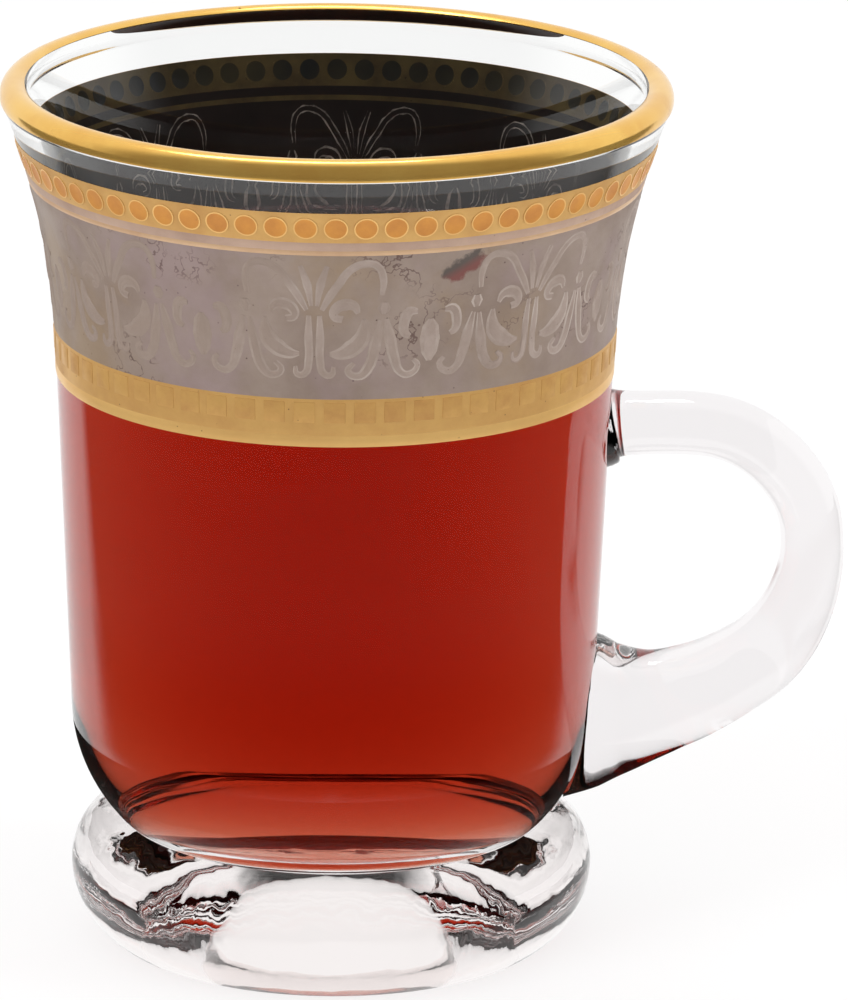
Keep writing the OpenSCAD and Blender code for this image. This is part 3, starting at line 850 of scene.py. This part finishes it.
lower_range, upper_range = (10.0, 45.0), (45.0, 75.0)
tree = bowl_glass.node_tree
spot = axes_of(tree, tree.nodes["Texture Coordinate"].outputs["Object"])
far_side = step_of(tree, "LESS_THAN", spot["X"], 0.0)
clear_of = []
for low, high in (lower_range, upper_range):
    middle, half_h, half_d = root_oval(low, high)
    up = step_of(tree, "DIVIDE", step_of(tree, "SUBTRACT", spot["Z"], middle), half_h)
    across = step_of(tree, "DIVIDE", spot["Y"], half_d)
    reach = step_of(tree, "ADD", squared(tree, up), squared(tree, across))
    clear_of.append(step_of(tree, "GREATER_THAN", reach, 1.0))
    print("root on the wall:", round(2 * half_h / MM, 1), "by", round(2 * half_d / MM, 1), "mm")
skinned = step_of(tree, "MAXIMUM", far_side, step_of(tree, "MINIMUM", *clear_of))
feed(tree, tree.nodes["Principled BSDF"].inputs["Alpha"], skinned)

# %% [markdown]
# ## Tea
# The tea fills the hollow up to a level behind the platinum band. Its side lies a hair inside the wall, so
# that no two faces fight for one place, and since that side is clear no film of air shows there. At the
# wall the liquid climbs by under a millimetre, as water does on clean glass.

# %% Tea
tea_gap, climb, climb_w = 0.03, 0.7, 2.4


def cavity_r(z):
    """Inside radius of the bowl at a height above its corner."""
    if z < flare_z:
        return skin_r(z) - wall_t / cos(radians(wall_lean))
    return flare_c[0] - sqrt(inner_flare_r ** 2 - (z - flare_c[1]) ** 2)


top_rings, side_heights = (0.0, 12.0, 24.0), (tea_z + climb, 80.0, 77.0, flare_z)
climb_shares = (1.0, 0.8, 0.6, 0.4, 0.25, 0.12)
edge_r = cavity_r(tea_z) - tea_gap
below_top = [(r, z) for r, z in inner_wall[flare_steps:] if z < tea_z and r > inner_corner_c[0]]
lower_wall = [(r - tea_gap, z + tea_gap) for r, z in below_top]
tea_section = (
    [(r, tea_z) for r in top_rings]
    + [(edge_r - climb_w * s, tea_z + climb * (1.0 - s) ** 3) for s in climb_shares]
    + [(cavity_r(z) - tea_gap, z) for z in side_heights]
    + lower_wall + [(0.0, floor_z + tea_gap)]
)
tea = lathe("tea", tea_section)
paint(tea, [tea_liquid])
settle(tea, "tea", "tea")

# %% [markdown]
# ## Bands of metal
# Each band is a thin ring on the outside of the glass. It is turned like the bowl, a twentieth of a
# millimetre into the glass so that no air shows behind it, and its edges are slightly rounded as paint
# draws back before it dries. Faces that look at the axis get the dark underside.

# %% Plain bands
film_t, film_sink = 0.12, 0.05


def band(name, z0, z1, steps, coats):
    """A ring of film from z0 up to z1, with a front coat and a back coat."""
    heights = [z0 + (z1 - z0) * i / steps for i in range(steps + 1)]
    inside = [(skin_r(z) - film_sink, z) for z in heights]
    crown = [(skin_r(z) + film_t, z) for z in heights[-2:0:-1]]
    top_edge, low_edge = ((skin_r(z) + film_t * 0.5, z) for z in (z1, z0))
    obj = lathe(name, inside + [top_edge] + crown + [low_edge])
    paint(obj, [fired[coat] for coat in coats], looks_in)
    return obj


upper_border_top, stripe_top, gold_line_top = 99.7, 95.9, 94.85
platinum_top, lower_border_top, lower_line_top = 94.25, 76.2, 71.7
bands = [
    ("upper_gold_border", stripe_top, upper_border_top, 8, ("border_gold", "gold_back"), "border_gold"),
    ("upper_platinum_stripe", gold_line_top, stripe_top, 4, ("blush_platinum", "platinum_back"), "platinum"),
    ("upper_gold_line", platinum_top, gold_line_top, 3, ("faded_gold", "gold_back"), "pale_gold"),
    ("platinum_band", lower_border_top, platinum_top, 30, ("platinum", "platinum_back"), "platinum"),
    ("lower_gold_border", lower_line_top, lower_border_top, 8, ("border_gold", "gold_back"), "border_gold"),
    ("lower_gold_line", lower_line_z, lower_line_top, 4, ("pale_gold", "gold_back"), "pale_gold"),
]
for name, z0, z1, steps, coats, slot in bands:
    settle(band(name + "_film", z0, z1, steps, coats), slot, name)

# %% [markdown]
# ## Gold lip
# The gold of the lip is painted over the bead with a round brush. It starts on the outside, goes over
# the top and ends just inside, so it is a curved shell. Below its inner edge the clear bead shows the
# brown underside of the gold on the far side.

# %% Gold lip
rim_gold_z, rim_gold_turn = 103.8, 130.0
rim_start = degrees(asin((rim_gold_z - lip_c[1]) / (lip_t / 2)))


def rim_shell(lift):
    """The line of the gold over the bead, raised by lift."""
    return arc(lip_c, lip_t / 2 + lift, rim_start, rim_gold_turn, 44)


rim = lathe("rim_gold_film", rim_shell(-film_sink) + rim_shell(film_t)[::-1])


def rim_side(centre, normal):
    """1 for the underside of the gold, which looks at the middle of the bead, else 0."""
    r = hypot(centre.x, centre.y)
    out = ((r - lip_c[0] * MM) * (normal.x * centre.x + normal.y * centre.y) / r
           + (centre.z - lip_c[1] * MM) * normal.z)
    return 1 if out < 0.0 else 0


paint(rim, [fired["rim_gold"], fired["rim_back"]], rim_side)
settle(rim, "rim_gold", "rim_gold_band")

# %% [markdown]
# ## Dots and blocks
# The upper border has a row of round dots, and the lower one a row of square blocks, each a thicker
# touch of gold. One is modelled at the +X side and the Spin tool then deals out copies round the axis.
# A dot is a low disc with an inset, so that a paler ring runs round it, on the back of the film too.

# %% Dots
def deal_round(count):
    """Copies the selected mesh round the axis until there are so many."""
    bpy.ops.mesh.select_all(action="SELECT")
    bpy.ops.mesh.spin(
        steps=count - 1, dupli=True, angle=2 * pi * (count - 1) / count,
        center=(0.0, 0.0, 0.0), axis=(0.0, 0.0, 1.0))


crisp = 30.0
dot_count, dot_z, dot_r, dot_ring = 68, (upper_border_top + stripe_top) / 2, 1.42, 0.16
dot_front, dot_back_lift, dot_sides = 0.19, -0.08, 22
groove_w, groove_d = 0.06, 0.01
dot_lean = degrees(asin((dot_z - flare_c[1]) / flare_r))
dot_middle = skin_r(dot_z) + (dot_front + dot_back_lift) / 2
pick()
bpy.ops.mesh.primitive_cylinder_add(
    vertices=dot_sides, radius=dot_r * MM, depth=(dot_front - dot_back_lift) * MM,
    location=(dot_middle * MM, 0.0, dot_z * MM), rotation=(0.0, radians(90.0 + dot_lean), 0.0))
dots = bpy.context.object
dots.name = "upper_gold_dots_relief"
bpy.ops.object.transform_apply(location=True, rotation=True, scale=True)
for face in dots.data.polygons:
    face.select = len(face.vertices) > 4
bpy.ops.object.mode_set(mode="EDIT")
bpy.ops.mesh.select_mode(type="FACE")
bpy.ops.mesh.inset(thickness=dot_ring * MM, depth=0.0, use_individual=True)
bpy.ops.mesh.inset(thickness=groove_w * MM, depth=-groove_d * MM, use_individual=True)
deal_round(dot_count)
close_mesh(dots, crisp)


def dot_coat(centre, normal):
    """Front ring 0, front disc 1, back disc 2 and back ring 3, by direction and distance."""
    outwards = hypot(centre.x, centre.y) > skin_r(centre.z / MM) * MM
    turn = round(atan2(centre.y, centre.x) / (2 * pi) * dot_count) * 2 * pi / dot_count
    middle = Vector((skin_r(dot_z) * MM * cos(turn), skin_r(dot_z) * MM * sin(turn), dot_z * MM))
    inner = (centre - middle).length < (dot_r - dot_ring) * MM
    return (1 if inner else 0) if outwards else (2 if inner else 3)


paint(dots, [fired[coat] for coat in ("pale_gold", "dot_gold", "dot_back", "gold_back")], dot_coat)
settle(dots, "dot_gold", "upper_gold_dots")

# %% Blocks
block_count, block_w, block_h = 60, 2.5, 2.5
block_drop, block_front, block_edge = 0.4, 0.15, 0.05
block_z = lower_border_top - block_drop - block_h / 2
pick()
bpy.ops.mesh.primitive_cube_add(
    size=1.0, location=((skin_r(block_z) + block_front / 2) * MM, 0.0, block_z * MM))
blocks = bpy.context.object
blocks.name = "lower_gold_blocks_relief"
blocks.scale = (block_front * MM, block_w * MM, block_h * MM)
blocks.rotation_euler = (0.0, radians(wall_lean), 0.0)
bpy.ops.object.transform_apply(location=True, rotation=True, scale=True)
bpy.ops.object.mode_set(mode="EDIT")
bpy.ops.mesh.select_all(action="SELECT")
bpy.ops.mesh.bevel(offset=block_edge * MM, segments=2, affect="EDGES")
deal_round(block_count)
close_mesh(blocks, crisp)
paint(blocks, [fired["block_gold"]])
settle(blocks, "dot_gold", "lower_gold_blocks")

# %% [markdown]
# ## Scrollwork
# The scrolls on the platinum are a traditional ornament of stems, leaves and volutes, laid on as a matt
# film. One unit is drawn flat as curves whose points carry the width of the brush, turned to a mesh,
# pressed thin and wrapped round the band. The Spin tool deals out the eight units. The same strokes are
# laid on the back of the film too, where they show through the glass as broken pale outlines.

# %% Strokes of one unit
# A point of a stroke is its place across half a unit, its share of the height, and the brush's width.
scroll_count, scroll_angle, scroll_stroke = 8, -4.0, 1.1
low_margin, top_margin = 2.5, 0.55
scroll_z = lower_border_top + low_margin
scroll_h = platinum_top - top_margin - scroll_z
scroll_r = skin_r(scroll_z + scroll_h / 2)
scroll_half = pi * scroll_r / scroll_count
half_unit = {
    "outer leg": [(0.61, 0.50, 0.5), (0.65, 0.33, 1.3), (0.69, 0.17, 1.2), (0.75, 0.05, 0.9),
                  (0.83, 0.03, 0.8), (0.90, 0.10, 0.7), (0.86, 0.15, 0.5)],
    "inner leg": [(0.555, 0.49, 0.5), (0.52, 0.28, 1.3), (0.455, 0.08, 1.2), (0.375, 0.025, 0.9),
                  (0.29, 0.07, 0.8), (0.34, 0.135, 0.5)],
    "drop": [(0.585, 0.54, 0.7), (0.588, 0.59, 1.4), (0.59, 0.64, 0.8)],
    "bud": [(0.42, 0.50, 0.5), (0.42, 0.41, 1.3), (0.39, 0.32, 1.9), (0.31, 0.25, 2.0),
            (0.21, 0.21, 1.3), (0.13, 0.21, 0.5)],
    "volute": [(0.37, 0.55, 0.5), (0.335, 0.61, 1.1), (0.265, 0.625, 1.4), (0.185, 0.59, 1.2),
               (0.17, 0.52, 0.9), (0.24, 0.50, 0.8)],
    "arch": [(0.065, 0.575, 0.5), (0.13, 0.69, 0.9), (0.20, 0.79, 0.9), (0.30, 0.92, 0.9),
             (0.42, 0.97, 0.9), (0.515, 0.95, 0.8), (0.57, 0.84, 0.8), (0.565, 0.70, 0.5)],
    "stem": [(0.045, 0.53, 0.5), (0.05, 0.35, 0.9), (0.05, 0.15, 0.9), (0.085, 0.045, 0.8),
             (0.15, 0.04, 0.7), (0.165, 0.105, 0.4)],
    "fan blade": [(0.025, 0.61, 0.4), (0.055, 0.79, 0.9), (0.11, 0.95, 0.5)],
    "hook": [(0.88, 0.55, 0.6), (0.81, 0.55, 1.2), (0.765, 0.46, 1.2), (0.775, 0.375, 1.0),
             (0.82, 0.345, 0.6)],
}
leaf_between = [(1.0, 0.13, 0.6), (1.0, 0.20, 1.8), (1.0, 0.31, 2.3), (1.0, 0.42, 1.8), (1.0, 0.48, 0.6)]
unit = [[(sign * u, h, w) for u, h, w in stroke] for stroke in half_unit.values() for sign in (1, -1)]
unit.append(leaf_between)
print("one unit is", round(2 * scroll_half, 1), "mm wide and has", len(unit), "strokes")

# %% Draw, press and wrap
soft_edge = 60.0


def scroll_layer(name, width, sides, fine, lift, press, coat):
    """All units as one mesh: the brush's width and fineness, how high it lies, how thick, and its coat."""
    drawing = bpy.data.curves.new(name, "CURVE")
    drawing.dimensions = "3D"
    drawing.bevel_depth = scroll_stroke / 2 * width * MM
    drawing.bevel_resolution = sides
    drawing.resolution_u = fine
    drawing.use_fill_caps = True
    for stroke in unit:
        spline = drawing.splines.new("BEZIER")
        spline.bezier_points.add(len(stroke) - 1)
        for point, (u, h, w) in zip(spline.bezier_points, stroke):
            point.co = (u * scroll_half * MM, 0.0, (scroll_z + h * scroll_h) * MM)
            point.radius = w
            point.handle_left_type = point.handle_right_type = "AUTO"
    obj = bpy.data.objects.new(name, drawing)
    scene.collection.objects.link(obj)
    pick(obj)
    bpy.ops.object.convert(target="MESH")
    obj = bpy.context.object
    for v in obj.data.vertices:
        z = v.co.z / MM
        turn = radians(scroll_angle) + v.co.x / MM / scroll_r
        r = (skin_r(z) + lift) * MM - v.co.y * press
        v.co = (r * cos(turn), r * sin(turn), v.co.z)
    bpy.ops.object.mode_set(mode="EDIT")
    deal_round(scroll_count)
    close_mesh(obj, soft_edge)
    paint(obj, [fired[coat]])
    return obj


scrolls = scroll_layer("scrollwork_relief", 1.0, 2, 4, film_t, 0.10, "scroll_edge")
leaf = scroll_layer("scroll_leaf", 0.78, 2, 4, film_t, 0.15, "matt_platinum")
outline = scroll_layer("scroll_outline", 1.0, 0, 3, -film_sink, 0.06, "scroll_line")
core = scroll_layer("scroll_core", 0.72, 0, 3, -film_sink, 0.16, "platinum_back")
pick(outline, core, leaf, scrolls)
bpy.ops.object.join()
settle(scrolls, "matt_platinum", "scrollwork")
